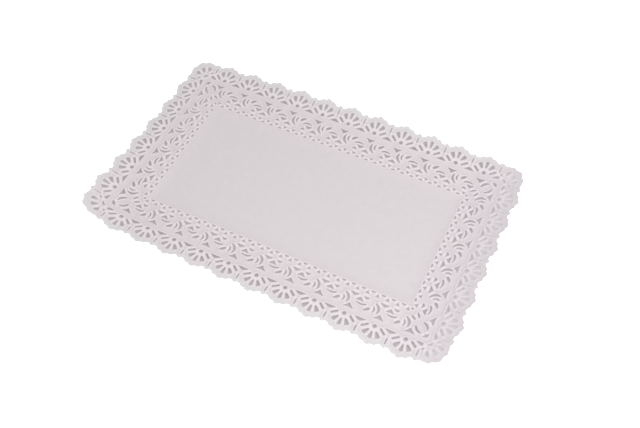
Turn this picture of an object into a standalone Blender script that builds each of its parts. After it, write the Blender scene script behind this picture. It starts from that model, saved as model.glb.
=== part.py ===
"""Rectangular paper lace doily: one embossed sheet, plain in the middle, with a border of
fans, sprays and a small lattice, whose rim lifts a little off the surface it lies on.

The border is charted in pitches. One pitch is the distance from fan to fan. On each side of
the sheet, u runs along the side and v runs outward from the line through the fans' hubs.
"""

import math
from collections import namedtuple

import bmesh
import bpy

# Driving sizes
PITCH = 0.025  # metres from one fan to the next
THICKNESS = 0.001  # metres, the sheet with its embossing
LONG_FANS = 11
SHORT_FANS = 6

# Places on a side, in pitches
LONG_HALF = 5.83  # half the distance between the short sides' hub lines
SHORT_HALF = 3.36  # half the distance between the long sides' hub lines
BEND_LINE = -1.2  # the rim starts to lift here
BEND_POWER = 1.82  # how sharply it curls
RIM_LINE = 0.65  # the tips of the fans

PAPER_COLOUR = (0.72, 0.69, 0.70, 1.0)
PAPER_ROUGHNESS = 0.75

TINY = 1e-6  # a width below this is nothing
SPINE_STEP = 0.01  # how far either way along a spine its direction is taken

# One row for each side, in turning order: how many quarter turns it lies from the far side,
# its fans, half its length and its distance from the middle in pitches, and how far its rim
# is lifted at its start, middle and end, in metres.
Side = namedtuple("Side", "turns fans half reach lifts")
SIDES = (
    Side(0, LONG_FANS, LONG_HALF, SHORT_HALF, (0.0027, 0.0091, 0.0054)),
    Side(1, SHORT_FANS, SHORT_HALF, LONG_HALF, (0.0087, 0.0098, 0.0083)),
    Side(2, LONG_FANS, LONG_HALF, SHORT_HALF, (0.0005, 0.0044, 0.0073)),
    Side(3, SHORT_FANS, SHORT_HALF, LONG_HALF, (0.0182, 0.0040, 0.0005)),
)

# A leaf is a cut along a bowed spine. Widths are across it at its start, middle and end, and
# a nose is a last point that far past a blunt end.
Leaf = namedtuple("Leaf", "start middle end widths nose")
CENTRE_PETAL = Leaf((0.0, 0.21), (0.0, 0.35), (0.0, 0.42), (0.02, 0.115, 0.09), 0.02)
UPPER_PETAL = Leaf((0.125, 0.16), (0.18, 0.24), (0.233, 0.32), (0.05, 0.088, 0.125), 0.012)
LOWER_PETAL = Leaf((0.204, 0.02), (0.289, 0.088), (0.373, 0.155), (0.058, 0.064, 0.056), 0.0)
BIG_CRESCENT = Leaf((0.133, -0.40), (0.13, -0.58), (0.29, -0.733), (0.0, 0.055, 0.0), 0.0)
CORNER_PETAL = Leaf((-0.03, -0.03), (-0.10, -0.10), (-0.16, -0.16), (0.03, 0.085, 0.08), 0.02)
CORNER_WEDGE = Leaf((0.095, -0.13), (0.08, -0.21), (0.062, -0.28), (0.015, 0.085, 0.13), 0.01)
RING_CRESCENT = Leaf((0.49, 0.365), (0.62, 0.405), (0.71, 0.535), (0.0, 0.055, 0.0), 0.0)

# A spandrel is a cut with three corners, whose sides bow inward by a share of their length.
Spandrel = namedtuple("Spandrel", "corners bow")
TRIANGLE = Spandrel(((-0.15, -0.24), (0.0, -0.41), (0.15, -0.24)), 0.10)

# A hill is the flat-topped cut between two fans: half widths and heights of foot and top.
Hill = namedtuple("Hill", "foot_half foot top_half top crown")
FULL_HILL = Hill(0.16, -0.065, 0.058, 0.022, 0.036)

# Next to a corner only half a hill is cut, here as p and q inward from the corner.
HALF_HILL = ((0.305, 0.0), (0.335, -0.022), (0.40, -0.01), (0.50, 0.07), (0.40, 0.068),
             (0.31, 0.055))

# The rim is the outermost of these discs. A disc has its centre and radius, in pitches.
Disc = namedtuple("Disc", "u v radius")
FAN_DISCS = (Disc(0.0, 0.0, 0.632), Disc(0.0, 0.545, 0.12))
JOIN_DISC = Disc(0.5, 0.47, 0.09)
RIM_STEPS = (-0.44, -0.37, -0.26, -0.15, -0.09, 0.0, 0.09, 0.15, 0.26, 0.37, 0.44, 0.5)
FIRST_STEPS = (-0.57, -0.5)  # what the first fan's rim has before these
LAST_STEPS = (0.57,)  # and the last fan's after them

# The corner's rim is three round lobes about the corner fan's hub.
CORNER_HUB = 0.12  # inward from the corner both ways
CORNER_WAY = 225.0  # degrees, from the hub outward along the diagonal
CORNER_LOBES = (-38.0, 0.0, 38.0)  # degrees of the lobes from the diagonal
LOBE_REACH = 0.345  # from the hub to a lobe's centre
LOBE_RADIUS = 0.305
CORNER_SPREAD = 56.0  # degrees from the diagonal to where the corner's rim ends
CORNER_STEPS = 15


def on_sheet(side, u, v):
    """The sheet's x and y, in metres, of a point charted on one side."""
    x, y = u, side.reach + v
    for _ in range(side.turns):
        x, y = y, -x
    return x * PITCH, y * PITCH


def on_corner(side, p, q):
    """The same for a point charted at the side's first corner, p and q inward from it."""
    return on_sheet(side, p - side.half, -q)


def bowed(start, middle, end, t):
    """A point of the curve through three points."""
    weights = ((1 - t) * (1 - 2 * t), 4 * t * (1 - t), t * (2 * t - 1))
    return tuple(sum(w * p[i] for w, p in zip(weights, (start, middle, end))) for i in (0, 1))


def leaf_points(leaf, steps):
    """The outline of a leaf, sampled at steps + 1 places along its spine."""
    left, right = [], []
    for step in range(steps + 1):
        t = step / steps
        spine = (leaf.start, leaf.middle, leaf.end)
        x, y = bowed(*spine, t)
        (x0, y0), (x1, y1) = bowed(*spine, t - SPINE_STEP), bowed(*spine, t + SPINE_STEP)
        run = math.hypot(x1 - x0, y1 - y0)
        way_x, way_y = (x1 - x0) / run, (y1 - y0) / run
        half = bowed(*((width, 0.0) for width in leaf.widths), t)[0] / 2
        left.append((x - way_y * half, y + way_x * half))
        if half > TINY:
            right.append((x + way_y * half, y - way_x * half))
        if step == steps and leaf.nose:
            left.append((x + way_x * leaf.nose, y + way_y * leaf.nose))
    return left + right[::-1]


def spandrel_points(spandrel):
    """The corners of a spandrel and the middles of its bowed sides."""
    points = []
    corners = spandrel.corners
    for (x0, y0), (x1, y1) in zip(corners, corners[1:] + corners[:1]):
        points.append((x0, y0))
        points.append(((x0 + x1) / 2 - (y1 - y0) * spandrel.bow,
                       (y0 + y1) / 2 + (x1 - x0) * spandrel.bow))
    return points


def hill_points(hill):
    """The outline of the flat-topped cut between two fans, about u = 0.5."""
    half = ((hill.foot_half, hill.foot), (hill.top_half, hill.top))
    right = [(0.5 + u, v) for u, v in half]
    left = [(0.5 - u, v) for u, v in reversed(half)]
    return right + [(0.5, hill.crown)] + left


def mirrored(points):
    """The outline turned over about u = 0."""
    return [(-u, v) for u, v in points]


def swapped(points):
    """The outline turned over about a corner's diagonal."""
    return [(q, p) for p, q in points]


def disc_height(disc, u):
    """The outward reach of a disc at u, or nothing beside it."""
    inside = disc.radius ** 2 - (u - disc.u) ** 2
    return disc.v + math.sqrt(inside) if inside > 0 else -math.inf


def fan_rim(u):
    """The outline's v at u from a fan's axis, where u lies within half a pitch."""
    reaches = [disc_height(disc, u) for disc in FAN_DISCS]
    reaches += [disc_height(JOIN_DISC, u), disc_height(JOIN_DISC, u + 1)]
    return max(reaches)


def corner_rim(angle):
    """The corner outline's distance from the corner fan's hub, at an angle off the diagonal."""
    reach = 0.0
    for lobe in CORNER_LOBES:
        off = math.radians(angle - lobe)
        chord = LOBE_RADIUS ** 2 - (LOBE_REACH * math.sin(off)) ** 2
        if chord > 0 and math.cos(off) > 0:
            reach = max(reach, LOBE_REACH * math.cos(off) + math.sqrt(chord))
    return reach


def sheet_outline():
    """The sheet's edge, once round."""
    points = []
    for side in SIDES:
        for step in range(CORNER_STEPS):
            off = CORNER_SPREAD * (2 * step / (CORNER_STEPS - 1) - 1)
            reach = corner_rim(off)
            angle = math.radians(CORNER_WAY + off)
            points.append(on_corner(side, CORNER_HUB + reach * math.cos(angle),
                                    CORNER_HUB + reach * math.sin(angle)))
        for fan in range(side.fans):
            steps = RIM_STEPS
            if fan == 0:
                steps = FIRST_STEPS + steps
            if fan == side.fans - 1:
                steps = steps + LAST_STEPS
            for u in steps:
                points.append(on_sheet(side, fan_axis(side, fan) + u, fan_rim(u)))
    return points


def fan_axis(side, fan):
    """Where a fan's axis crosses its side's hub line."""
    return fan - (side.fans - 1) / 2


def fan_cuts():
    """The cuts that every fan has, about its own axis."""
    upper = leaf_points(UPPER_PETAL, 1)
    lower = leaf_points(LOWER_PETAL, 1)
    return [leaf_points(CENTRE_PETAL, 2), upper, mirrored(upper), lower, mirrored(lower),
            spandrel_points(TRIANGLE)]


def gap_cuts():
    """The cuts between a fan and the next, about the first fan's axis."""
    return [hill_points(FULL_HILL), leaf_points(BIG_CRESCENT, 4)]


def corner_cuts():
    """The cuts of one corner, about the crossing of the hub lines."""
    wedge = leaf_points(CORNER_WEDGE, 1)
    ring = leaf_points(RING_CRESCENT, 4)
    return [leaf_points(CORNER_PETAL, 2), wedge, swapped(wedge), ring, swapped(ring),
            HALF_HILL, swapped(HALF_HILL)]


def all_cuts():
    """Every cut through the sheet, in metres."""
    cuts = []
    for side in SIDES:
        for cut in corner_cuts():
            cuts.append([on_corner(side, p, q) for p, q in cut])
        for fan in range(side.fans):
            here = fan_cuts() + (gap_cuts() if fan < side.fans - 1 else [])
            for cut in here:
                cuts.append([on_sheet(side, fan_axis(side, fan) + u, v) for u, v in cut])
    return cuts


def rim_lift(x, y):
    """How far the paper stands off the surface at a point, in metres."""
    lift = 0.0
    for side in SIDES:
        u, out = ((x, y), (-y, x), (-x, -y), (y, -x))[side.turns]
        bent = (out / PITCH - side.reach - BEND_LINE) / (RIM_LINE - BEND_LINE)
        if bent > 0:
            along = (u / PITCH / side.half + 1) / 2
            start, middle, end = ((height, 0.0) for height in side.lifts)
            lift += bowed(start, middle, end, along)[0] * bent ** BEND_POWER
    return lift


def add_loop(bm, points):
    """Adds a closed ring of edges and returns them."""
    verts = [bm.verts.new((x, y, 0.0)) for x, y in points]
    return [bm.edges.new(ends) for ends in zip(verts, verts[1:] + verts[:1])]


def score_bend_lines(bm):
    """Splits the flat sheet where its rim starts to bend, so that the middle stays flat."""
    for half, normal in ((LONG_HALF, (1, 0, 0)), (SHORT_HALF, (0, 1, 0))):
        for way in (1, -1):
            place = [way * (half + BEND_LINE) * PITCH * share for share in normal]
            everything = bm.verts[:] + bm.edges[:] + bm.faces[:]
            bmesh.ops.bisect_plane(bm, geom=everything, dist=TINY, plane_co=place,
                                   plane_no=normal)


def paper():
    """The white paper."""
    material = bpy.data.materials.new("paper")
    material.use_nodes = True
    shader = material.node_tree.nodes["Principled BSDF"]
    shader.inputs["Base Color"].default_value = PAPER_COLOUR
    shader.inputs["Roughness"].default_value = PAPER_ROUGHNESS
    shader.inputs["Metallic"].default_value = 0.0
    return material


def build_doily():
    """The whole doily: the outline filled round its cuts, thickened, then its rim lifted."""
    bm = bmesh.new()
    edges = add_loop(bm, sheet_outline())
    for cut in all_cuts():
        edges += add_loop(bm, cut)
    bmesh.ops.triangle_fill(bm, edges=edges, use_beauty=True, use_dissolve=False)
    score_bend_lines(bm)
    raised = bmesh.ops.extrude_face_region(bm, geom=bm.faces[:])["geom"]
    top = [part for part in raised if isinstance(part, bmesh.types.BMVert)]
    bmesh.ops.translate(bm, verts=top, vec=(0.0, 0.0, THICKNESS))
    for vert in bm.verts:
        vert.co.z += rim_lift(vert.co.x, vert.co.y)
    bmesh.ops.triangulate(bm, faces=bm.faces[:])
    bmesh.ops.recalc_face_normals(bm, faces=bm.faces[:])
    mesh = bpy.data.meshes.new("doily")
    bm.to_mesh(mesh)
    bm.free()
    mesh.materials.append(paper())
    doily = bpy.data.objects.new("doily", mesh)
    bpy.context.scene.collection.objects.link(doily)


def clear_scene():
    """Removes whatever the scene holds."""
    for thing in list(bpy.data.objects):
        bpy.data.objects.remove(thing, do_unlink=True)


clear_scene()
build_doily()
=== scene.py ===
"""Looks of the rectangular paper lace doily: one embossed sheet on a pale floor.

The lace is charted in pitches. One pitch is the distance from fan to fan. On each side of the
sheet, u runs along the side and v runs outward from the line through the fans' hubs. At a
corner, p and q run inward from the crossing of those lines.
"""

import logging
import math
from dataclasses import dataclass, field
from enum import Enum

import bmesh
import bpy
from mathutils import Matrix, Vector, noise
from mathutils.geometry import delaunay_2d_cdt
from mathutils.kdtree import KDTree


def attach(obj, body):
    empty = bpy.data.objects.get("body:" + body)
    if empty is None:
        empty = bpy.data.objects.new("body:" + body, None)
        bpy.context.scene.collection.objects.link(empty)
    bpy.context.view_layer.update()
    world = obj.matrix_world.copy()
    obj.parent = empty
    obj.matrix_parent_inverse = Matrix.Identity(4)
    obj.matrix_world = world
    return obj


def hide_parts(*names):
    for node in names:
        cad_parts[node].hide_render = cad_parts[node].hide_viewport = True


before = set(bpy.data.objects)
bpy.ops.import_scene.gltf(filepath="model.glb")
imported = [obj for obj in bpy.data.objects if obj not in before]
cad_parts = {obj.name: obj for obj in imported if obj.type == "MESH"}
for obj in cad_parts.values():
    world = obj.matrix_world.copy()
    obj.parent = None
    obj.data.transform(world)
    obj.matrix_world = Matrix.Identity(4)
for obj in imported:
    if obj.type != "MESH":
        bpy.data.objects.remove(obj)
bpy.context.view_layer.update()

log = logging.getLogger("doily")

Point = tuple[float, float]
Outline = list[Point]
Span = tuple[float, float]
Colour = tuple[float, float, float]
Tree = bpy.types.NodeTree
Socket = bpy.types.NodeSocket

# Driving sizes. The solid has the same ones.
PITCH = 0.025  # metres from one fan to the next
LONG_FANS = 11
SHORT_FANS = 6
LONG_HALF = 5.83  # half the distance between the short sides' hub lines, in pitches
SHORT_HALF = 3.36  # half the distance between the long sides' hub lines, in pitches

# Outlines, in pitches
SPINE_STEP = 0.01  # the share of a spine over which its direction is taken, either way
TINY = 1e-6  # a width below this is nothing
STEP_SLACK = 0.3  # the share of a step that may be left over
FEWEST_STEPS = 12  # on a walk round an outline
MERGE = 1e-7  # points nearer than this are one to the triangulation
TRIANGLE = math.sqrt(0.75)  # the height of a triangle whose sides are all 1

# What the triangulation gives
CDT_ALL = 0  # triangles everywhere
CDT_WITH_HOLES = 2  # triangles inside the outermost outline, with the others left open

# Sockets of the colour mix node, whose names its other data types share
MIX_FIRST = 6
MIX_SECOND = 7
MIX_RESULT = 2

UNIT = (0.0, 1.0)
WHITE = (1.0, 1.0, 1.0)


def clamped(value: float) -> float:
    """Give the value, held between 0 and 1."""
    return min(1.0, max(0.0, value))


def eased(share: float) -> float:
    """Give a share from 0 to 1, with a soft start and a soft end."""
    return share * share * (3 - 2 * share)


def bowed(start: Point, middle: Point, end: Point, t: float) -> Point:
    """Find a point of the curve through three points.

    Args:
        start: The curve's first point.
        middle: The point half way along.
        end: The curve's last point.
        t: How far along the point lies, from 0 to 1.

    Returns:
        The point.
    """
    weights = ((1 - t) * (1 - 2 * t), 4 * t * (1 - t), t * (2 * t - 1))
    return (sum(w * p[0] for w, p in zip(weights, (start, middle, end))),
            sum(w * p[1] for w, p in zip(weights, (start, middle, end))))


def softened(points: Outline, spacing: float) -> Outline:
    """Divide the sides of a closed outline and round its corners a little.

    Args:
        points: The outline.
        spacing: About the longest step that is left.

    Returns:
        The softer outline.
    """
    fine: Outline = []
    for (x0, y0), (x1, y1) in zip(points, points[1:] + points[:1]):
        count = max(1, math.ceil(math.dist((x0, y0), (x1, y1)) / spacing - STEP_SLACK))
        fine += [(x0 + (x1 - x0) * step / count, y0 + (y1 - y0) * step / count)
                 for step in range(count)]
    return [((a[0] + 4 * b[0] + c[0]) / 6, (a[1] + 4 * b[1] + c[1]) / 6)
            for a, b, c in zip(fine[-1:] + fine[:-1], fine, fine[1:] + fine[:1])]


def evenly(points: Outline, spacing: float) -> Outline:
    """Walk round a closed outline in even steps.

    Args:
        points: The outline.
        spacing: The length of a step.

    Returns:
        The points of the walk.
    """
    ring = points + points[:1]
    runs = [math.dist(a, b) for a, b in zip(ring, ring[1:])]
    total = sum(runs)
    count = max(FEWEST_STEPS, round(total / spacing))
    walk, index, passed = [], 0, 0.0
    for step in range(count):
        goal = total * step / count
        while index < len(runs) - 1 and passed + runs[index] < goal:
            passed += runs[index]
            index += 1
        share = (goal - passed) / runs[index] if runs[index] > 0 else 0.0
        (x0, y0), (x1, y1) = ring[index], ring[index + 1]
        walk.append((x0 + (x1 - x0) * share, y0 + (y1 - y0) * share))
    return walk


def turned_left(points: Outline) -> Outline:
    """Give the outline, turned so that it runs to the left."""
    area = sum(x0 * y1 - x1 * y0 for (x0, y0), (x1, y1) in zip(points, points[1:] + points[:1]))
    return points if area > 0 else points[::-1]


def outward(points: Outline) -> Outline:
    """Find the unit normals of an outline that runs to the left, pointing out of it.

    Args:
        points: The outline.

    Returns:
        One normal for each point.
    """
    normals = []
    for before, after in zip(points[-1:] + points[:-1], points[1:] + points[:1]):
        x, y = after[0] - before[0], after[1] - before[1]
        run = math.hypot(x, y) or 1.0
        normals.append((y / run, -x / run))
    return normals


@dataclass(frozen=True)
class Leaf:
    """A cut along a bowed spine, with its widths at the spine's start, middle and end."""

    start: Point
    middle: Point
    end: Point
    widths: tuple[float, float, float]
    nose: float = 0.0  # how far one more point lies past the end
    steps: int = 6

    def points(self) -> Outline:
        """Work out the leaf's outline.

        Returns:
            The outline, in pitches.
        """
        spine = (self.start, self.middle, self.end)
        left, right = [], []
        for step in range(self.steps + 1):
            t = step / self.steps
            x, y = bowed(*spine, t)
            (x0, y0), (x1, y1) = bowed(*spine, t - SPINE_STEP), bowed(*spine, t + SPINE_STEP)
            run = math.hypot(x1 - x0, y1 - y0)
            way_x, way_y = (x1 - x0) / run, (y1 - y0) / run
            half = bowed(*((width, 0.0) for width in self.widths), t)[0] / 2
            left.append((x - way_y * half, y + way_x * half))
            if half > TINY:
                right.append((x + way_y * half, y - way_x * half))
            if step == self.steps and self.nose:
                left.append((x + way_x * self.nose, y + way_y * self.nose))
        return left + right[::-1]


@dataclass(frozen=True)
class Spandrel:
    """A cut with three corners, whose sides bow inward by a share of their length."""

    corners: tuple[Point, Point, Point]
    bow: float
    steps: int = 4  # on each side

    def points(self) -> Outline:
        """Work out the spandrel's outline.

        Returns:
            The outline, in pitches.
        """
        outline = []
        for start, end in zip(self.corners, self.corners[1:] + self.corners[:1]):
            middle = ((start[0] + end[0]) / 2 - (end[1] - start[1]) * self.bow,
                      (start[1] + end[1]) / 2 + (end[0] - start[0]) * self.bow)
            outline += [bowed(start, middle, end, step / self.steps)
                        for step in range(self.steps)]
        return outline


@dataclass(frozen=True)
class Patch:
    """A cut charted by the corners of its outline."""

    corners: tuple[Point, ...]

    def points(self) -> Outline:
        """Give the outline, in pitches."""
        return list(self.corners)


@dataclass(frozen=True)
class Dot:
    """A round or oval cut."""

    centre: Point
    across: float
    up: float
    steps: int = 16

    def points(self) -> Outline:
        """Give the oval's outline, in pitches."""
        turns = (math.tau * step / self.steps for step in range(self.steps))
        return [(self.centre[0] + self.across / 2 * math.cos(turn),
                 self.centre[1] + self.up / 2 * math.sin(turn)) for turn in turns]


Cut = Leaf | Spandrel | Patch | Dot


class Flip(Enum):
    """How a charted cut is turned over before it is placed."""

    KEPT = (1, 0, 0, 1)
    MIRRORED = (-1, 0, 0, 1)
    SWAPPED = (0, 1, 1, 0)

    def apply(self, points: Outline) -> Outline:
        """Give the outline, turned over by this choice's 2 by 2 matrix."""
        a, b, c, d = self.value
        return [(a * u + b * v, c * u + d * v) for u, v in points]


@dataclass(frozen=True)
class Curl:
    """Where and how sharply the rim lifts off the surface, and what its corners add."""

    bend_line: float = -1.2  # the v where the rim starts to lift
    rim_line: float = 0.65  # the v of the fans' tips
    power: float = 1.82  # how sharply it curls
    draw: float = 0.6  # what share of the draw-in of paper that doesn't stretch it shows
    # Metres that the corners add: far left, far right, near right and near left
    kicks: tuple[float, float, float, float] = (0.0021, -0.0011, 0.0, -0.0012)
    kick_start: float = 0.62  # pitches inward from the hub lines where a corner starts to add
    kick_full: float = -0.12  # and where it adds all

    def kick(self, x: float, y: float) -> float:
        """Work out how much more a corner lifts a point than its two sides do.

        Args:
            x: The point's x, in pitches.
            y: The point's y, in pitches.

        Returns:
            The lift in metres, below 0 where the corner sags.
        """
        share = 1.0
        for inward in (LONG_HALF - abs(x), SHORT_HALF - abs(y)):
            part = (self.kick_start - inward) / (self.kick_start - self.kick_full)
            share *= eased(clamped(part))
        if y > 0:
            return share * self.kicks[0 if x < 0 else 1]
        return share * self.kicks[2 if x > 0 else 3]


@dataclass(frozen=True)
class Side:
    """One side of the sheet, counted in quarter turns from the far side."""

    turns: int
    fans: int
    half: float  # half the length of its hub line, in pitches
    reach: float  # how far out that line lies, in pitches
    lifts: tuple[float, float, float]  # the rim's at its start, middle and end, in metres

    def place(self, u: float, v: float) -> Point:
        """Place a point that is charted on this side.

        Args:
            u: How far along the side it lies.
            v: How far out from the hub line it lies.

        Returns:
            Its x and y on the sheet, in pitches.
        """
        x, y = u, self.reach + v
        for _ in range(self.turns):
            x, y = y, -x
        return x, y

    def place_corner(self, p: float, q: float) -> Point:
        """Give the sheet's x and y, in pitches, of a point charted at the first corner."""
        return self.place(p - self.half, -q)

    def found(self, x: float, y: float) -> Point:
        """Give the u and v on this side of a point of the sheet."""
        u, out = ((x, y), (-y, x), (-x, -y), (y, -x))[self.turns]
        return u, out - self.reach

    def axis(self, fan: int) -> float:
        """Give the u of a fan's axis."""
        return fan - (self.fans - 1) / 2

    def rise(self, u: float) -> float:
        """Give the rim's lift, in metres, at u along the side."""
        start, middle, end = ((height, 0.0) for height in self.lifts)
        return bowed(start, middle, end, (u / self.half + 1) / 2)[0]

    def pull(self, x: float, y: float, curl: Curl) -> tuple[float, float, float]:
        """Work out how far this side's curl lifts a point and draws it in.

        Args:
            x: The point's x, in pitches.
            y: The point's y, in pitches.
            curl: How the rim curls.

        Returns:
            The shift in x and y, in pitches, and the lift in metres.
        """
        u, v = self.found(x, y)
        run = curl.rim_line - curl.bend_line
        bent = (v - curl.bend_line) / run
        if bent <= 0:
            return 0.0, 0.0, 0.0
        slope = self.rise(u) * curl.power / (run * PITCH)
        wide = 2 * curl.power - 1
        shift = curl.draw * run * slope ** 2 / (2 * wide) * bent ** wide
        along, across = ((0.0, -shift), (-shift, 0.0), (0.0, shift), (shift, 0.0))[self.turns]
        return along, across, self.rise(u) * bent ** curl.power


SIDES = (
    Side(0, LONG_FANS, LONG_HALF, SHORT_HALF, (0.0027, 0.0091, 0.0054)),
    Side(1, SHORT_FANS, SHORT_HALF, LONG_HALF, (0.0086, 0.0107, 0.0102)),
    Side(2, LONG_FANS, LONG_HALF, SHORT_HALF, (0.0005, 0.0044, 0.0073)),
    Side(3, SHORT_FANS, SHORT_HALF, LONG_HALF, (0.0182, 0.0040, 0.0005)),
)


def curled(x: float, y: float, curl: Curl) -> tuple[float, float, float]:
    """Find where the curl takes a point of the flat sheet.

    Args:
        x: The point's x, in pitches.
        y: The point's y, in pitches.
        curl: How the rim curls.

    Returns:
        Its new x and y, in pitches, and its lift in metres.
    """
    pulls = [side.pull(x, y, curl) for side in SIDES]
    shift_x, shift_y, lift = (sum(parts) for parts in zip(*pulls))
    return x + shift_x, y + shift_y, lift + curl.kick(x, y)


@dataclass(frozen=True)
class Fan:
    """The cuts of one fan, about its own axis."""

    hub: Dot = Dot((0.0, 0.0), 0.126, 0.126)
    middle_petal: Patch = Patch((
        (-0.012, 0.185), (0.014, 0.185), (0.040, 0.290), (0.058, 0.420), (0.0, 0.434),
        (-0.058, 0.420), (-0.038, 0.290)))
    upper_petal: Patch = Patch((
        (0.100, 0.165), (0.130, 0.140), (0.215, 0.205), (0.292, 0.278), (0.252, 0.332),
        (0.182, 0.372), (0.140, 0.270)))
    lower_petal: Patch = Patch((
        (0.178, 0.022), (0.204, -0.026), (0.310, 0.055), (0.398, 0.120), (0.368, 0.178),
        (0.280, 0.112)))
    spandrel: Spandrel = Spandrel(((-0.178, -0.246), (0.0, -0.42), (0.160, -0.246)), 0.07)

    def cuts(self) -> list[tuple[Cut, Flip]]:
        """Give every cut of the fan, with how it is turned over."""
        return [(self.hub, Flip.KEPT), (self.middle_petal, Flip.KEPT),
                (self.upper_petal, Flip.KEPT), (self.upper_petal, Flip.MIRRORED),
                (self.lower_petal, Flip.KEPT), (self.lower_petal, Flip.MIRRORED),
                (self.spandrel, Flip.KEPT)]


@dataclass(frozen=True)
class Spray:
    """The cuts between a fan and the next, about the first fan's axis."""

    hill: Patch = Patch((
        (0.310, -0.074), (0.385, -0.042), (0.45, 0.014), (0.50, 0.026), (0.55, 0.014),
        (0.615, -0.042), (0.690, -0.074), (0.50, -0.078)))
    slit: Leaf = Leaf((0.5, 0.185), (0.502, 0.30), (0.5, 0.42), (0.020, 0.036, 0.020), 0.006)
    big_crescent: Leaf = Leaf(
        (0.134, -0.375), (0.120, -0.585), (0.292, -0.738), (0.0, 0.072, 0.0), 0.0, 8)
    thin_crescent: Leaf = Leaf(
        (0.280, -0.370), (0.238, -0.50), (0.305, -0.61), (0.0, 0.042, 0.0))
    fat_leaf: Leaf = Leaf((0.385, -0.49), (0.455, -0.413), (0.552, -0.348), (0.055, 0.086, 0.004))
    long_leaf: Leaf = Leaf((0.522, -0.58), (0.655, -0.512), (0.86, -0.545), (0.026, 0.046, 0.0))
    bat: Patch = Patch((
        (0.645, -0.612), (0.77, -0.626), (0.895, -0.604), (0.848, -0.662), (0.772, -0.738),
        (0.705, -0.672)))
    cap: Spandrel = Spandrel(((0.505, -0.810), (0.705, -0.812), (0.588, -0.718)), 0.04)

    def cuts(self) -> list[tuple[Cut, Flip]]:
        """Give every cut of the spray, with how it is turned over."""
        return [(cut, Flip.KEPT) for cut in vars(self).values()]


@dataclass(frozen=True)
class Corner:
    """The cuts of one corner, about the crossing of the hub lines."""

    hub: Patch = Patch((
        (0.032, 0.158), (0.050, 0.085), (0.085, 0.050), (0.158, 0.032), (0.175, 0.062),
        (0.108, 0.108), (0.062, 0.175)))
    petal: Patch = Patch((
        (-0.035, -0.015), (-0.015, -0.035), (-0.112, -0.220), (-0.185, -0.185),
        (-0.220, -0.112)))
    wedge: Patch = Patch((
        (0.085, -0.115), (0.106, -0.122), (0.142, -0.270), (0.065, -0.320), (-0.022, -0.308)))
    bead: Leaf = Leaf((0.225, -0.075), (0.25, -0.115), (0.275, -0.155), (0.03, 0.05, 0.03), 0.005)
    half_hill: Patch = Patch((
        (0.292, 0.070), (0.298, -0.010), (0.345, -0.030), (0.415, 0.008), (0.520, 0.083),
        (0.40, 0.082)))
    slit: Leaf = Leaf(
        (0.345, -0.165), (0.352, -0.28), (0.345, -0.405), (0.020, 0.036, 0.020), 0.006)
    dart: Patch = Patch((
        (0.252, 0.425), (0.268, 0.300), (0.300, 0.268), (0.425, 0.252), (0.362, 0.312),
        (0.368, 0.368), (0.312, 0.362)))
    ring: Leaf = Leaf((0.475, 0.355), (0.635, 0.405), (0.732, 0.560), (0.0, 0.064, 0.020), 0.0, 8)
    leaf: Leaf = Leaf((0.81, 0.722), (0.90, 0.775), (0.985, 0.838), (0.016, 0.056, 0.004))
    nook: Dot = Dot((1.04, 1.04), 0.066, 0.066, 12)

    def cuts(self) -> list[tuple[Cut, Flip]]:
        """Give every cut of the corner, with how it is turned over."""
        pairs = (self.wedge, self.bead, self.half_hill, self.slit, self.ring, self.leaf)
        return ([(cut, Flip.KEPT) for cut in (self.hub, self.petal, self.dart, self.nook)]
                + [(cut, flip) for cut in pairs for flip in (Flip.KEPT, Flip.SWAPPED)])


@dataclass(frozen=True)
class Lattice:
    """The small cuts round the plain middle: two rows, and one cut over each inner fan."""

    in_a_pitch: int = 3
    upper: Spandrel = Spandrel(((-0.072, -0.934), (0.0, -1.045), (0.072, -0.934)), 0.09)
    lower: Patch = Patch((
        (-0.070, -1.092), (-0.046, -1.054), (0.0, -1.036), (0.046, -1.054), (0.070, -1.092),
        (0.0, -1.086)))
    low: Patch = Patch((
        (-0.150, -0.814), (0.0, -0.806), (0.148, -0.816), (0.062, -0.762), (-0.008, -0.698),
        (-0.072, -0.762)))

    def cuts(self, fans: int) -> list[tuple[Cut, float]]:
        """Lay out the two rows of one side.

        Args:
            fans: How many fans the side has.

        Returns:
            Each cut with its u from the first fan's axis.
        """
        gaps = self.in_a_pitch * (fans - 1)
        step = 1 / self.in_a_pitch
        uppers = [(self.upper, place * step) for place in range(1, gaps)]
        lowers = [(self.lower, (place - 0.5) * step) for place in range(2, gaps)]
        return uppers + lowers


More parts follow.
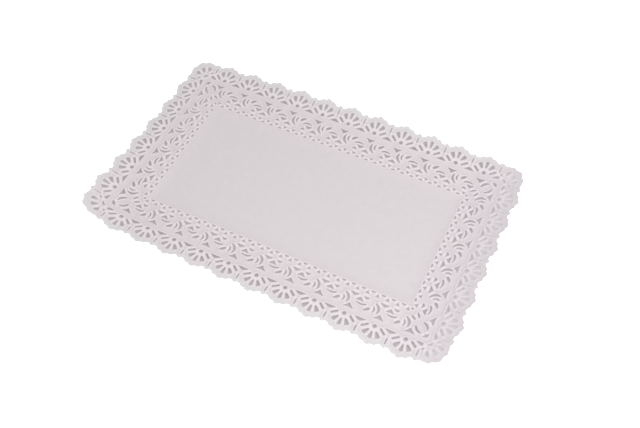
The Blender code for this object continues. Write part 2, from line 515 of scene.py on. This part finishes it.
@dataclass(frozen=True)
class Rim:
    """The scalloped edge: half a fan's edge and half a corner's, with small picots."""

    half_fan: tuple[Point, ...] = (
        (0.0, 0.656), (0.05, 0.650), (0.09, 0.622), (0.118, 0.580), (0.15, 0.590),
        (0.19, 0.598), (0.235, 0.586), (0.275, 0.552), (0.305, 0.510), (0.34, 0.502),
        (0.375, 0.490), (0.405, 0.478), (0.428, 0.502), (0.455, 0.540), (0.5, 0.552))
    half_corner: tuple[Point, ...] = (
        (0.20, -0.482), (0.14, -0.500), (0.06, -0.510), (0.02, -0.498), (-0.03, -0.516),
        (-0.095, -0.515), (-0.125, -0.490), (-0.145, -0.448), (-0.19, -0.430),
        (-0.25, -0.418), (-0.32, -0.404), (-0.364, -0.364))
    end_fan: float = 0.57  # how far the first and last fans' edges reach past their axes
    fan_steps: int = 36
    picot_length: float = 0.115
    picot_height: float = 0.010
    picot_inside: float = 0.6  # what share of a picot lies inside the smooth edge

    def fan_height(self, off: float) -> float:
        """Find the edge's v beside a fan's axis.

        Args:
            off: The distance from the axis, up to half a pitch.

        Returns:
            The edge's v.
        """
        for (u0, v0), (u1, v1) in zip(self.half_fan, self.half_fan[1:]):
            if off <= u1:
                return v0 + (v1 - v0) * (off - u0) / (u1 - u0)
        return self.half_fan[-1][1]

    def smooth(self) -> Outline:
        """Walk once round the scallops.

        Returns:
            The edge without its picots, in pitches.
        """
        edge = []
        corner = [(q, p) for p, q in self.half_corner] + list(self.half_corner[-2::-1])
        for side in SIDES:
            edge += [side.place_corner(p, q) for p, q in corner]
            for fan in range(side.fans):
                first = -self.end_fan if fan == 0 else -0.5
                last = self.end_fan if fan == side.fans - 1 else 0.5
                for step in range(self.fan_steps):
                    u = first + (last - first) * step / self.fan_steps
                    height = self.fan_height(min(abs(u), 1.0 - abs(u)))
                    edge.append(side.place(side.axis(fan) + u, height))
        return edge

    def points(self, spacing: float) -> Outline:
        """Walk once round the sheet's edge.

        Args:
            spacing: The length of a step, in pitches.

        Returns:
            The edge with its picots, in pitches.
        """
        walk = turned_left(evenly(self.smooth(), spacing))
        count = round(len(walk) * spacing / self.picot_length)
        picoted = []
        for index, ((x, y), (nx, ny)) in enumerate(zip(walk, outward(walk))):
            bump = abs(math.sin(math.pi * count * index / len(walk)))
            out = self.picot_height * (bump - self.picot_inside)
            picoted.append((x + nx * out, y + ny * out))
        return picoted


@dataclass(frozen=True)
class Emboss:
    """The raised lip that the die presses up round every cut."""

    crest: float = 0.032  # pitches from the cut to the top of the lip
    foot: float = 0.076  # pitches from the cut to where it ends
    edge_share: float = 0.30  # how high it is at the cut
    height: float = 0.00070  # metres
    rim_height: float = 0.00016  # metres, of the lower lip along the rim
    rim_inset: float = 0.01  # pitches by which that one starts further in

    def share(self, distance: float) -> float:
        """Work out how high the lip is.

        Args:
            distance: The distance from the nearest cut, in pitches.

        Returns:
            The share of the lip's full height, from 0 to 1.
        """
        if distance <= self.crest:
            rise = math.sin(math.pi / 2 * max(0.0, distance) / self.crest)
            return self.edge_share + (1 - self.edge_share) * rise
        if distance >= self.foot:
            return 0.0
        fall = (distance - self.crest) / (self.foot - self.crest)
        return 0.5 + 0.5 * math.cos(math.pi * fall)


class EdgeMap:
    """Tells how far a point of the paper is from the nearest of some outlines."""

    def __init__(self, outlines: list[Outline], spacing: float, paper_inside: bool) -> None:
        """Sample the outlines.

        Args:
            outlines: The outlines, each running to the left.
            spacing: How closely they are sampled.
            paper_inside: Whether the paper lies inside them.
        """
        samples: list[Point] = []
        self.normals: list[Point] = []
        way = -1.0 if paper_inside else 1.0
        for points in outlines:
            fine = evenly(points, spacing)
            samples += fine
            self.normals += [(nx * way, ny * way) for nx, ny in outward(fine)]
        self.tree = KDTree(len(samples))
        for index, (x, y) in enumerate(samples):
            self.tree.insert((x, y, 0.0), index)
        self.tree.balance()

    def distance(self, x: float, y: float) -> float:
        """Measure how far a point is from the nearest outline.

        Args:
            x: The point's x, in pitches.
            y: The point's y, in pitches.

        Returns:
            The distance in pitches, below 0 off the paper.
        """
        near, index, far = self.tree.find((x, y, 0.0))
        nx, ny = self.normals[index]
        outside = (x - near[0]) * nx + (y - near[1]) * ny
        return far if outside >= 0 else -far


@dataclass(frozen=True)
class Row:
    """What a row of the mesh's points keeps to, beside an outline or in a net, in pitches."""

    reach: float  # from the outline, or in a net from one point to the next
    gap: float  # the least distance to every other point
    from_cuts: float
    from_rim: float


@dataclass(frozen=True)
class Spacing:
    """How closely the points of the sheet's mesh lie, in pitches."""

    cut: float = 0.032  # along a cut
    small_cut: float = 0.022  # along a small cut
    small_length: float = 0.42  # a cut whose outline is shorter than this is small
    rim: float = 0.028  # along the rim
    cut_samples: float = 0.008  # along the cuts where distances are measured
    rim_samples: float = 0.02  # along the rim where distances are measured
    # The lips' crests, which come nearer to the cuts where they are crowded
    crests: tuple[Row, ...] = tuple(Row(reach, min(0.018, 0.8 * reach), 0.92 * reach, 0.01)
                                    for reach in (Emboss.crest, 0.028, 0.023, 0.018, 0.014))
    slopes: tuple[Row, ...] = tuple(Row(reach, gap, 0.95 * reach, 0.02)
                                    for reach, gap in ((0.053, 0.026), (Emboss.foot, 0.034)))
    beside_rim: tuple[Row, ...] = tuple(Row(-reach, gap, 0.02, 0.85 * reach)
                                        for reach, gap in ((0.035, 0.024), (0.08, 0.04)))
    border: Row = Row(0.085, 0.75 * 0.085, 0.045, 0.04)
    middle: Row = Row(0.26, 0.75 * 0.26, 0.045, 0.04)
    middle_line: float = -1.16  # the v where the plain middle's points end
    past_hubs: float = 0.8  # how far out from the hub lines the nets of points go
    cell: float = 0.3  # of the grid in which points are looked up, wider than every gap


class Scatter:
    """Spreads the points of the sheet's mesh over the paper between the cuts."""

    def __init__(self, outlines: list[Outline], rim: Outline, spacing: Spacing) -> None:
        """Measure the sheet out.

        Args:
            outlines: The cuts.
            rim: The rim.
            spacing: How closely the points lie.
        """
        self.outlines = outlines
        self.rim = rim
        self.spacing = spacing
        self.cuts = EdgeMap(outlines, spacing.cut_samples, False)
        self.edge = EdgeMap([rim], spacing.rim_samples, True)
        self.points: Outline = []
        self.cells: dict[tuple[int, int], Outline] = {}

    def spread(self) -> Outline:
        """Spread all points, the outlines' own ones first.

        Returns:
            The points.
        """
        for points in self.outlines + [self.rim]:
            for place in points:
                self.note(place)
        for points in self.outlines:
            self.follow(points, self.spacing.crests, False)
        for row in self.spacing.slopes:
            for points in self.outlines:
                self.follow(points, (row,), True)
        self.follow(self.rim, self.spacing.beside_rim, True)
        self.fill(self.spacing.border, False)
        self.fill(self.spacing.middle, True)
        return self.points

    def cell(self, place: Point) -> tuple[int, int]:
        """Give the column and row of the grid's cell that a point lies in."""
        return math.floor(place[0] / self.spacing.cell), math.floor(place[1] / self.spacing.cell)

    def note(self, place: Point) -> None:
        """Note a point and its cell."""
        self.cells.setdefault(self.cell(place), []).append(place)
        self.points.append(place)

    def add(self, place: Point, row: Row) -> bool:
        """Add a point if it is clear of the cuts and the rim and no other is too near.

        Args:
            place: The point.
            row: What it keeps to.

        Returns:
            Whether it is clear of the cuts and the rim.
        """
        if (self.cuts.distance(*place) < row.from_cuts
                or self.edge.distance(*place) <= row.from_rim):
            return False
        left, low = (number - 1 for number in self.cell(place))
        near = (other for i in range(left, left + 3) for j in range(low, low + 3)
                for other in self.cells.get((i, j), ()))
        if all(math.dist(other, place) >= row.gap for other in near):
            self.note(place)
        return True

    def follow(self, points: Outline, rows: tuple[Row, ...], every: bool) -> None:
        """Add points beside an outline that runs to the left.

        Args:
            points: The outline.
            rows: The rows that they may lie in.
            every: Whether every row gets its points, or only the first that is clear.
        """
        for (x, y), (nx, ny) in zip(points, outward(points)):
            for row in rows:
                if self.add((x + nx * row.reach, y + ny * row.reach), row) and not every:
                    break

    def fill(self, net: Row, middle: bool) -> None:
        """Fill the border or the plain middle with a net of evenly spread points.

        Args:
            net: What the points keep to.
            middle: Whether this is the plain middle.
        """
        height = net.reach * TRIANGLE
        rows = math.ceil((SHORT_HALF + self.spacing.past_hubs) / height)
        columns = math.ceil((LONG_HALF + self.spacing.past_hubs) / net.reach)
        for row in range(-rows, rows + 1):
            for column in range(-columns, columns + 1):
                x, y = (column + 0.5 * (row % 2)) * net.reach, row * height
                out = max(abs(x) - LONG_HALF, abs(y) - SHORT_HALF)
                if (out < self.spacing.middle_line) is middle:
                    self.add((x, y), net)


class Share(Enum):
    """What the mesh notes at each of its points for the paper's material, from 0 to 1."""

    LIP = "lip"  # the height of the lip, less on the right side; it places the painted highlight on the crests
    EDGE = "edge"  # how near the rim is; it places the paler rim, which is partly painted light
    BORDER = "border"  # 0 on the plain middle and 1 on the border
    RIGHT = "right"  # how far the painted shade on the right side has begun


def wired(tree: Tree, node: str | bpy.types.Node, inputs: dict[str | int, object]
          ) -> bpy.types.Node:
    """Set or link the inputs of a node.

    Args:
        tree: The tree that the node is in.
        node: The node, or the type of a new one.
        inputs: The value or the socket for each input, by its name or number.

    Returns:
        The node.
    """
    if isinstance(node, str):
        node = tree.nodes.new(node)
    for name, value in inputs.items():
        if isinstance(value, Socket):
            tree.links.new(value, node.inputs[name])
        else:
            node.inputs[name].default_value = value
    return node


def attribute(tree: Tree, name: str) -> Socket:
    """Add a node that reads an attribute of the mesh.

    Args:
        tree: The tree that the node joins.
        name: The attribute's name.

    Returns:
        The socket with its value.
    """
    node = tree.nodes.new("ShaderNodeAttribute")
    node.attribute_name = name
    return node.outputs["Fac"]


def ranged(tree: Tree, value: Socket, source: Span, target: Span, way: str = "LINEAR") -> Socket:
    """Add a node that takes a value from one range to another.

    Args:
        tree: The tree that the node joins.
        value: The socket with the value.
        source: The range that the value is in.
        target: The range that it is taken to.
        way: How the values between are found.

    Returns:
        The socket with the new value.
    """
    node = tree.nodes.new("ShaderNodeMapRange")
    node.interpolation_type = way
    wired(tree, node, {"Value": value, "From Min": source[0], "From Max": source[1],
                       "To Min": target[0], "To Max": target[1]})
    return node.outputs["Result"]


def mixed(tree: Tree, factor: Socket, first: Colour | Socket, second: Colour) -> Socket:
    """Add a node that mixes two colours.

    Args:
        tree: The tree that the node joins.
        factor: The socket with the share of the second colour.
        first: The first colour, or the socket with it.
        second: The second colour.

    Returns:
        The socket with the mixture.
    """
    mix = tree.nodes.new("ShaderNodeMix")
    mix.data_type = "RGBA"
    start = (*first, 1.0) if isinstance(first, tuple) else first
    wired(tree, mix, {"Factor": factor, MIX_FIRST: start, MIX_SECOND: (*second, 1.0)})
    return mix.outputs[MIX_RESULT]


@dataclass(frozen=True)
class PaperGrain:
    """The node group with a paper's cloudy formation and its fibres."""

    name: str = "paper grain"
    cloud_detail: float = 3.0
    fibre_detail: float = 2.0
    fibre_distortion: float = 0.6
    fibre_turn: float = 0.45  # radians
    fibre_stretches: tuple[Colour, Colour] = ((1.0, 4.0, 4.0), (4.0, 1.0, 4.0))

    def build(self) -> bpy.types.ShaderNodeTree:
        """Build the group.

        Returns:
            The group, with Cloud and Fibre values out.
        """
        group = bpy.data.node_groups.new(self.name, "ShaderNodeTree")
        for name, way, kind in (("Place", "INPUT", "Vector"), ("Cloud Scale", "INPUT", "Float"),
                                ("Fibre Scale", "INPUT", "Float"), ("Cloud", "OUTPUT", "Float"),
                                ("Fibre", "OUTPUT", "Float")):
            group.interface.new_socket(name, in_out=way, socket_type=f"NodeSocket{kind}")
        given = group.nodes.new("NodeGroupInput").outputs
        cloud = wired(group, "ShaderNodeTexNoise", {
            "Vector": given["Place"], "Scale": given["Cloud Scale"], "Detail": self.cloud_detail})
        both = group.nodes.new("ShaderNodeMath")
        both.operation = "ADD"
        for index, stretch in enumerate(self.fibre_stretches):
            lay = wired(group, "ShaderNodeMapping", {
                "Vector": given["Place"], "Scale": stretch,
                "Rotation": (0.0, 0.0, self.fibre_turn)})
            strands = wired(group, "ShaderNodeTexNoise", {
                "Vector": lay.outputs["Vector"], "Scale": given["Fibre Scale"],
                "Detail": self.fibre_detail, "Distortion": self.fibre_distortion})
            wired(group, both, {index: strands.outputs["Fac"]})
        wired(group, "NodeGroupOutput", {"Cloud": cloud.outputs["Fac"],
                                         "Fibre": both.outputs["Value"]})
        return group


@dataclass(frozen=True)
class PaperFinish:
    """The white paper: its colours, its grain, the painted highlight on the pressed lips and the
    painted shade on its right side.
    """

    name: str = "lace paper"
    plain: Colour = (0.664, 0.619, 0.641)  # the plain middle
    ground: Colour = (0.677, 0.625, 0.647)  # the border
    right_painted_shade: Colour = (0.642, 0.592, 0.624)  # painted shade on the border's right side
    # the paler rim: partly the paper's own tone, partly painted light against the shade at the
    # edge
    rim: Colour = (0.690, 0.674, 0.682)
    # painted highlight on the crests of the lips
    crest: Colour = (0.752, 0.699, 0.723)
    painted_highlight: Span = (0.46, 1.0)  # the lip's heights over which its painted highlight comes in
    cloud_scale: float = 170.0
    cloud_shade: Span = (0.955, 1.03)
    fibre_scale: float = 900.0
    bump_strength: float = 0.35
    bump_distance: float = 0.00012  # metres
    roughness: Span = (0.72, 0.58)  # of the sheet and of the crests
    specular: float = 0.3
    sheen: float = 0.04
    sheen_roughness: float = 0.5

    def material(self, grain: bpy.types.ShaderNodeTree) -> bpy.types.Material:
        """Build the paper's material.

        Args:
            grain: The node group with the paper's clouds and fibres.

        Returns:
            The material.
        """
        material = bpy.data.materials.new(self.name)
        material.use_nodes = True
        tree = material.node_tree
        colour = self.plain
        # The border's tone, the painted shade on the right side and the paler rim, which is
        # partly painted light.
        for share, second in ((Share.BORDER, self.ground), (Share.RIGHT, self.right_painted_shade),
                              (Share.EDGE, self.rim)):
            colour = mixed(tree, attribute(tree, share.value), colour, second)
        lip = attribute(tree, Share.LIP.value)
        # Painted highlight along the lips' crests.
        painted_highlight = ranged(tree, lip, self.painted_highlight, UNIT, "SMOOTHSTEP")
        fibres = tree.nodes.new("ShaderNodeGroup")
        fibres.node_tree = grain
        spot = tree.nodes.new("ShaderNodeTexCoord")
        wired(tree, fibres, {"Place": spot.outputs["Object"], "Cloud Scale": self.cloud_scale,
                             "Fibre Scale": self.fibre_scale})
        clouds = tree.nodes.new("ShaderNodeMix")
        clouds.data_type = "RGBA"
        clouds.blend_type = "MULTIPLY"
        shade = ranged(tree, fibres.outputs["Cloud"], UNIT, self.cloud_shade)
        wired(tree, clouds, {"Factor": 1.0, MIX_FIRST: mixed(tree, painted_highlight, colour, self.crest),
                             MIX_SECOND: shade})
        bump = wired(tree, "ShaderNodeBump", {
            "Strength": self.bump_strength, "Distance": self.bump_distance,
            "Height": fibres.outputs["Fibre"]})
        wired(tree, tree.nodes["Principled BSDF"], {
            "Base Color": clouds.outputs[MIX_RESULT], "Normal": bump.outputs["Normal"],
            "Roughness": ranged(tree, lip, UNIT, self.roughness),
            "Specular IOR Level": self.specular, "Sheen Weight": self.sheen,
            "Sheen Roughness": self.sheen_roughness})
        return material


@dataclass(frozen=True)
class PaintedRightShade:
    """Where the right side's painted shade begins, in pitches past its hub line, in two steps."""

    first: float = -1.2
    first_width: float = 0.15
    first_share: float = 0.4
    second: float = -0.25
    second_width: float = 0.35

    def share(self, run: float) -> float:
        """Work out how far the right side's painted shade has begun.

        Args:
            run: How far past the right side's hub line a point lies.

        Returns:
            The share, from 0 to 1.
        """
        share = self.first_share * clamped((run - self.first) / self.first_width)
        return min(1.0, max(share, (run - self.second) / self.second_width))


@dataclass
class LaceSheet:
    """The doily's one sheet: its cuts, raised lips, curled rim and finish."""

    thickness: float = 0.00026  # metres
    base: float = 0.00008  # metres from the floor to the plain middle
    border_rise: float = 0.00018  # metres
    border_start: float = -1.34  # the v where the border starts to rise
    border_width: float = 0.24
    sway: float = 0.00022  # metres of slow waves all over the sheet
    sway_scale: float = 0.45
    sway_layer: float = 7.3
    grow: float = 0.003  # pitches by which every cut is widened
    pale_width: float = 0.22  # pitches of paler paper along the rim, partly the paper's tone and partly painted light
    pale_loss: float = 0.9  # how much of that is lost on the right side, under its painted shade
    lip_loss: float = 0.25  # how much of the lips' painted highlight is lost there
    sharp_from: float = 48.0  # degrees
    right: PaintedRightShade = PaintedRightShade()
    fan: Fan = Fan()
    spray: Spray = Spray()
    corner: Corner = Corner()
    lattice: Lattice = Lattice()
    rim: Rim = Rim()
    emboss: Emboss = Emboss()
    curl: Curl = Curl()
    spacing: Spacing = Spacing()
    outlines: list[Outline] = field(default_factory=list)

    def chart(self) -> None:
        """Lay every cut of the lace out on the flat sheet."""
        for side in SIDES:
            for cut, flip in self.corner.cuts():
                self.lay([side.place_corner(p, q) for p, q in flip.apply(cut.points())])
            for cut, along in self.lattice.cuts(side.fans):
                self.lay([side.place(side.axis(0) + along + u, v) for u, v in cut.points()])
            for fan in range(side.fans):
                here = self.fan.cuts()
                if fan < side.fans - 1:
                    here += self.spray.cuts()
                if 0 < fan < side.fans - 1:
                    here.append((self.lattice.low, Flip.KEPT))
                for cut, flip in here:
                    self.lay([side.place(side.axis(fan) + u, v)
                              for u, v in flip.apply(cut.points())])

    def lay(self, points: Outline) -> None:
        """Note a cut's outline in short steps, running to the left.

        Args:
            points: The outline, in pitches.
        """
        length = sum(math.dist(a, b) for a, b in zip(points, points[1:] + points[:1]))
        small = length < self.spacing.small_length
        spacing = self.spacing.small_cut if small else self.spacing.cut
        points = turned_left(softened(points, spacing))
        self.outlines.append([(x + nx * self.grow, y + ny * self.grow)
                              for (x, y), (nx, ny) in zip(points, outward(points))])

    def build(self) -> bpy.types.Object:
        """Build the sheet's mesh, with its lips and curl.

        Returns:
            The sheet.
        """
        self.chart()
        rim = self.rim.points(self.spacing.rim)
        scatter = Scatter(self.outlines, rim, self.spacing)
        places = [Vector(point) for point in scatter.spread()]
        rings, first = [], 0
        for points in self.outlines + [rim]:
            rings.append(list(range(first, first + len(points))))
            first += len(points)
        log.info("%d cuts, %d points", len(self.outlines), len(places))
        verts, _, faces, *_ = delaunay_2d_cdt(places, [], rings, CDT_WITH_HOLES, MERGE)
        bm = bmesh.new()
        corners = [bm.verts.new((x * PITCH, y * PITCH, 0.0)) for x, y in verts]
        for face in faces:
            bm.faces.new([corners[index] for index in face])
        layers = {share: bm.verts.layers.float.new(share.value) for share in Share}
        for vert in bm.verts:
            self.shape(vert, scatter, layers)
        raised = bmesh.ops.extrude_face_region(bm, geom=bm.faces[:])["geom"]
        top = [part for part in raised if isinstance(part, bmesh.types.BMVert)]
        bmesh.ops.translate(bm, verts=top, vec=(0.0, 0.0, self.thickness))
        bmesh.ops.recalc_face_normals(bm, faces=bm.faces[:])
        mesh = bpy.data.meshes.new("paper_sheet")
        bm.to_mesh(mesh)
        bm.free()
        mesh.shade_smooth()
        mesh.set_sharp_from_angle(angle=math.radians(self.sharp_from))
        sheet = bpy.data.objects.new("paper_sheet", mesh)
        bpy.context.scene.collection.objects.link(sheet)
        return sheet

    def shape(self, vert: bmesh.types.BMVert, scatter: Scatter,
              layers: dict[Share, bmesh.types.BMLayerItem]) -> None:
        """Lift one point of the flat sheet to its height and note its shares, which place the
        painted highlight and the painted shade.

        Args:
            vert: The point.
            scatter: What measures the distances from the cuts and the rim.
            layers: The layer for each share.
        """
        x, y = vert.co.x / PITCH, vert.co.y / PITCH
        lip = self.emboss.share(scatter.cuts.distance(x, y))
        off = max(0.0, scatter.edge.distance(x, y))
        rim_lip = self.emboss.share(off + self.emboss.rim_inset)
        out = max(abs(x) - LONG_HALF, abs(y) - SHORT_HALF)
        border = eased(clamped((out - self.border_start) / self.border_width))
        # Painted shade on the right side, which also weakens the painted highlight and the paler
        # rim there.
        right = self.right.share(x - LONG_HALF)
        vert[layers[Share.LIP]] = lip * (1 - self.lip_loss * right)
        vert[layers[Share.EDGE]] = (max(0.0, 1.0 - off / self.pale_width)
                                    * (1 - self.pale_loss * right))
        vert[layers[Share.BORDER]] = border
        vert[layers[Share.RIGHT]] = right
        wave = noise.noise(Vector((x * self.sway_scale, y * self.sway_scale, self.sway_layer)))
        new_x, new_y, lift = curled(x, y, self.curl)
        height = (self.base + self.border_rise * border
                  + max(self.emboss.height * lip, self.emboss.rim_height * rim_lip)
                  + lift + self.sway * (0.5 + 0.5 * wave))
        vert.co = (new_x * PITCH, new_y * PITCH, height)

    def dress(self, sheet: bpy.types.Object, paper: bpy.types.Material) -> None:
        """Give the sheet its paper, hang it on the root body and hide the solid's doily.

        Args:
            sheet: The sheet.
            paper: The paper's material.
        """
        sheet.data.materials.append(paper)
        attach(sheet, "root")
        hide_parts("doily")


@dataclass(frozen=True)
class Studio:
    """The pale floor, the soft lights and the camera at the photograph's angle."""

    lens: float = 46.006  # millimetres
    sensor: float = 36.0  # millimetres
    nearest: float = 0.01  # metres
    eye: tuple[float, float, float] = (0.19431, -0.34408, 0.55133)
    right: tuple[float, float, float] = (0.8977, 0.44017, -0.01943)
    up: tuple[float, float, float] = (-0.35332, 0.74553, 0.56511)
    back: tuple[float, float, float] = (0.26323, -0.50043, 0.82479)
    sky: float = 0.805
    key_place: tuple[float, float, float] = (0.33, -0.21, 0.56)
    key_size: float = 0.26
    key_power: float = 1.55
    curl: Curl = Curl()
    floor_half: float = 160.0  # pitches
    floor_roughness: float = 0.9
    floor_specular: float = 0.1
    pale: Colour = (0.95, 0.95, 0.95)
    # painted shade: the floor's colour under the lace, seen through its cuts
    shade: Colour = (0.316, 0.293, 0.304)
    # the painted shade's own glow, which keeps it even under the lace
    painted_shade_glow: Colour = (0.416, 0.387, 0.399)
    # the floor's glow: white on the bare floor, the painted shade's glow under the lace
    glow: float = 0.55
    painted_shade_reaches: Span = (0.445, 0.485)  # the v where the painted shade starts to end and ends
    painted_shade_inset: float = 0.3  # how far inside the crossings the straight runs end
    painted_shade_steps: int = 4  # in a straight run, for each pitch of half a side
    corner_middle: float = 0.12  # the p and q that the painted shade's corners turn round
    corner_extra: float = 0.005  # how much wider they turn
    corner_turns: range = range(175, 276, 10)  # degrees
    painted_light: Span = (5.15, 5.9)  # pitches in x over which the painted shade pales to painted light on the right
    painted_light_share: float = 0.23

    def camera(self) -> None:
        """Set the camera up where the photograph was taken."""
        data = bpy.data.cameras.new("view")
        data.sensor_width = self.sensor
        data.lens = self.lens
        data.clip_start = self.nearest
        camera = bpy.data.objects.new("view", data)
        axes = Matrix((self.right, self.up, self.back)).transposed()
        camera.matrix_world = Matrix.Translation(self.eye) @ axes.to_4x4()
        bpy.context.scene.collection.objects.link(camera)
        bpy.context.scene.camera = camera
        bpy.context.scene.view_settings.view_transform = "Standard"

    def lights(self) -> None:
        """Light the scene from all round, and from the near right, before a white backdrop."""
        world = bpy.data.worlds.new("studio")
        world.use_nodes = True
        tree = world.node_tree
        path = tree.nodes.new("ShaderNodeLightPath")
        wired(tree, tree.nodes["Background"], {
            "Color": (*WHITE, 1.0),
            "Strength": ranged(tree, path.outputs["Is Camera Ray"], UNIT, (self.sky, 1.0))})
        bpy.context.scene.world = world
        data = bpy.data.lights.new("key", "AREA")
        data.shape = "DISK"
        data.size = self.key_size
        data.energy = self.key_power
        key = bpy.data.objects.new("key", data)
        place = Vector(self.key_place)
        turn = place.to_track_quat("Z", "Y").to_matrix().to_4x4()
        key.matrix_world = Matrix.Translation(place) @ turn
        bpy.context.scene.collection.objects.link(key)

    def seen_through(self, x: float, y: float) -> Point:
        """Find the floor's point that the camera sees behind a point of the sheet.

        Args:
            x: The x of the sheet's point when flat, in pitches.
            y: Its y.

        Returns:
            The floor's point, in pitches.
        """
        x, y, lift = curled(x, y, self.curl)
        share = self.eye[2] / (self.eye[2] - lift)
        return (self.eye[0] / PITCH + (x - self.eye[0] / PITCH) * share,
                self.eye[1] / PITCH + (y - self.eye[1] / PITCH) * share)

    def painted_shade_ring(self, reach: float) -> Outline:
        """Walk round the floor's painted shade, under a line at one reach from the hubs.

        Args:
            reach: The line's distance out from the hub lines, in pitches.

        Returns:
            The walk on the floor, in pitches.
        """
        ring = []
        for side in SIDES:
            for turn in self.corner_turns:
                way = math.radians(turn)
                wide = reach + self.corner_extra
                ring.append(side.place_corner(self.corner_middle + wide * math.cos(way),
                                              self.corner_middle + wide * math.sin(way)))
            steps = round(self.painted_shade_steps * side.half)
            ring += [side.place((side.half - self.painted_shade_inset) * (2 * step / steps - 1), reach)
                     for step in range(steps + 1)]
        return [self.seen_through(x, y) for x, y in ring]

    def floor(self) -> None:
        """Lay the pale floor, with a painted shade where the lace covers it, placed where the
        camera sees the floor through the cuts.
        """
        rings = [self.painted_shade_ring(reach) for reach in self.painted_shade_reaches]
        half = self.floor_half
        spots = [(-half, -half), (half, -half), (half, half), (-half, half)]
        painted_shade_verts = range(len(spots), len(spots) + len(rings[0]))
        edges = []
        for ring in rings:
            edges += [(len(spots) + index, len(spots) + (index + 1) % len(ring))
                      for index in range(len(ring))]
            spots += ring
        verts, _, faces, sources, *_ = delaunay_2d_cdt([Vector(spot) for spot in spots], edges,
                                                       [], CDT_ALL, MERGE)
        bm = bmesh.new()
        openness = bm.verts.layers.float.new("open")
        corners = []
        for (x, y), source in zip(verts, sources):
            corners.append(bm.verts.new((x * PITCH, y * PITCH, 0.0)))
            # 0 under the painted shade and 1 on the bare floor
            corners[-1][openness] = 0.0 if min(source, default=0) in painted_shade_verts else 1.0
        for face in faces:
            bm.faces.new([corners[index] for index in face])
        mesh = bpy.data.meshes.new("floor")
        bm.to_mesh(mesh)
        bm.free()
        mesh.materials.append(self.floor_material())
        floor = bpy.data.objects.new("floor", mesh)
        bpy.context.scene.collection.objects.link(floor)

    def floor_material(self) -> bpy.types.Material:
        """Build the floor's material, with painted shade where the sheet covers it, paling to
        painted light on the right.

        Returns:
            The material.
        """
        material = bpy.data.materials.new("pale floor")
        material.use_nodes = True
        tree = material.node_tree
        spot = tree.nodes.new("ShaderNodeTexCoord")
        parts = wired(tree, "ShaderNodeSeparateXYZ", {"Vector": spot.outputs["Object"]})
        # Painted light: the painted shade pales towards the right, where the rim lifts most.
        painted_light = ranged(tree, parts.outputs["X"], (self.painted_light[0] * PITCH, self.painted_light[1] * PITCH),
                     (0.0, self.painted_light_share))
        most = wired(tree, "ShaderNodeMath", {0: attribute(tree, "open"), 1: painted_light})
        most.operation = "MAXIMUM"
        share = most.outputs["Value"]
        # Painted shade under the lace, with its own glow; the bare floor is evenly white.
        wired(tree, tree.nodes["Principled BSDF"], {
            "Base Color": mixed(tree, share, self.shade, self.pale),
            "Emission Color": mixed(tree, share, self.painted_shade_glow, WHITE),
            "Emission Strength": self.glow, "Roughness": self.floor_roughness,
            "Specular IOR Level": self.floor_specular})
        return material


def main() -> None:
    """Build the studio and the sheet, and log the sheet's triangle count."""
    logging.basicConfig(level=logging.INFO, format="%(name)s: %(message)s")
    studio = Studio()
    studio.camera()
    studio.lights()
    studio.floor()
    log.info("studio ready")
    paper = PaperFinish().material(PaperGrain().build())
    lace = LaceSheet()
    sheet = lace.build()
    lace.dress(sheet, paper)
    mesh = sheet.data
    mesh.calc_loop_triangles()
    log.info("%s: %d triangles", sheet.name, len(mesh.loop_triangles))


if __name__ == "__main__":
    main()
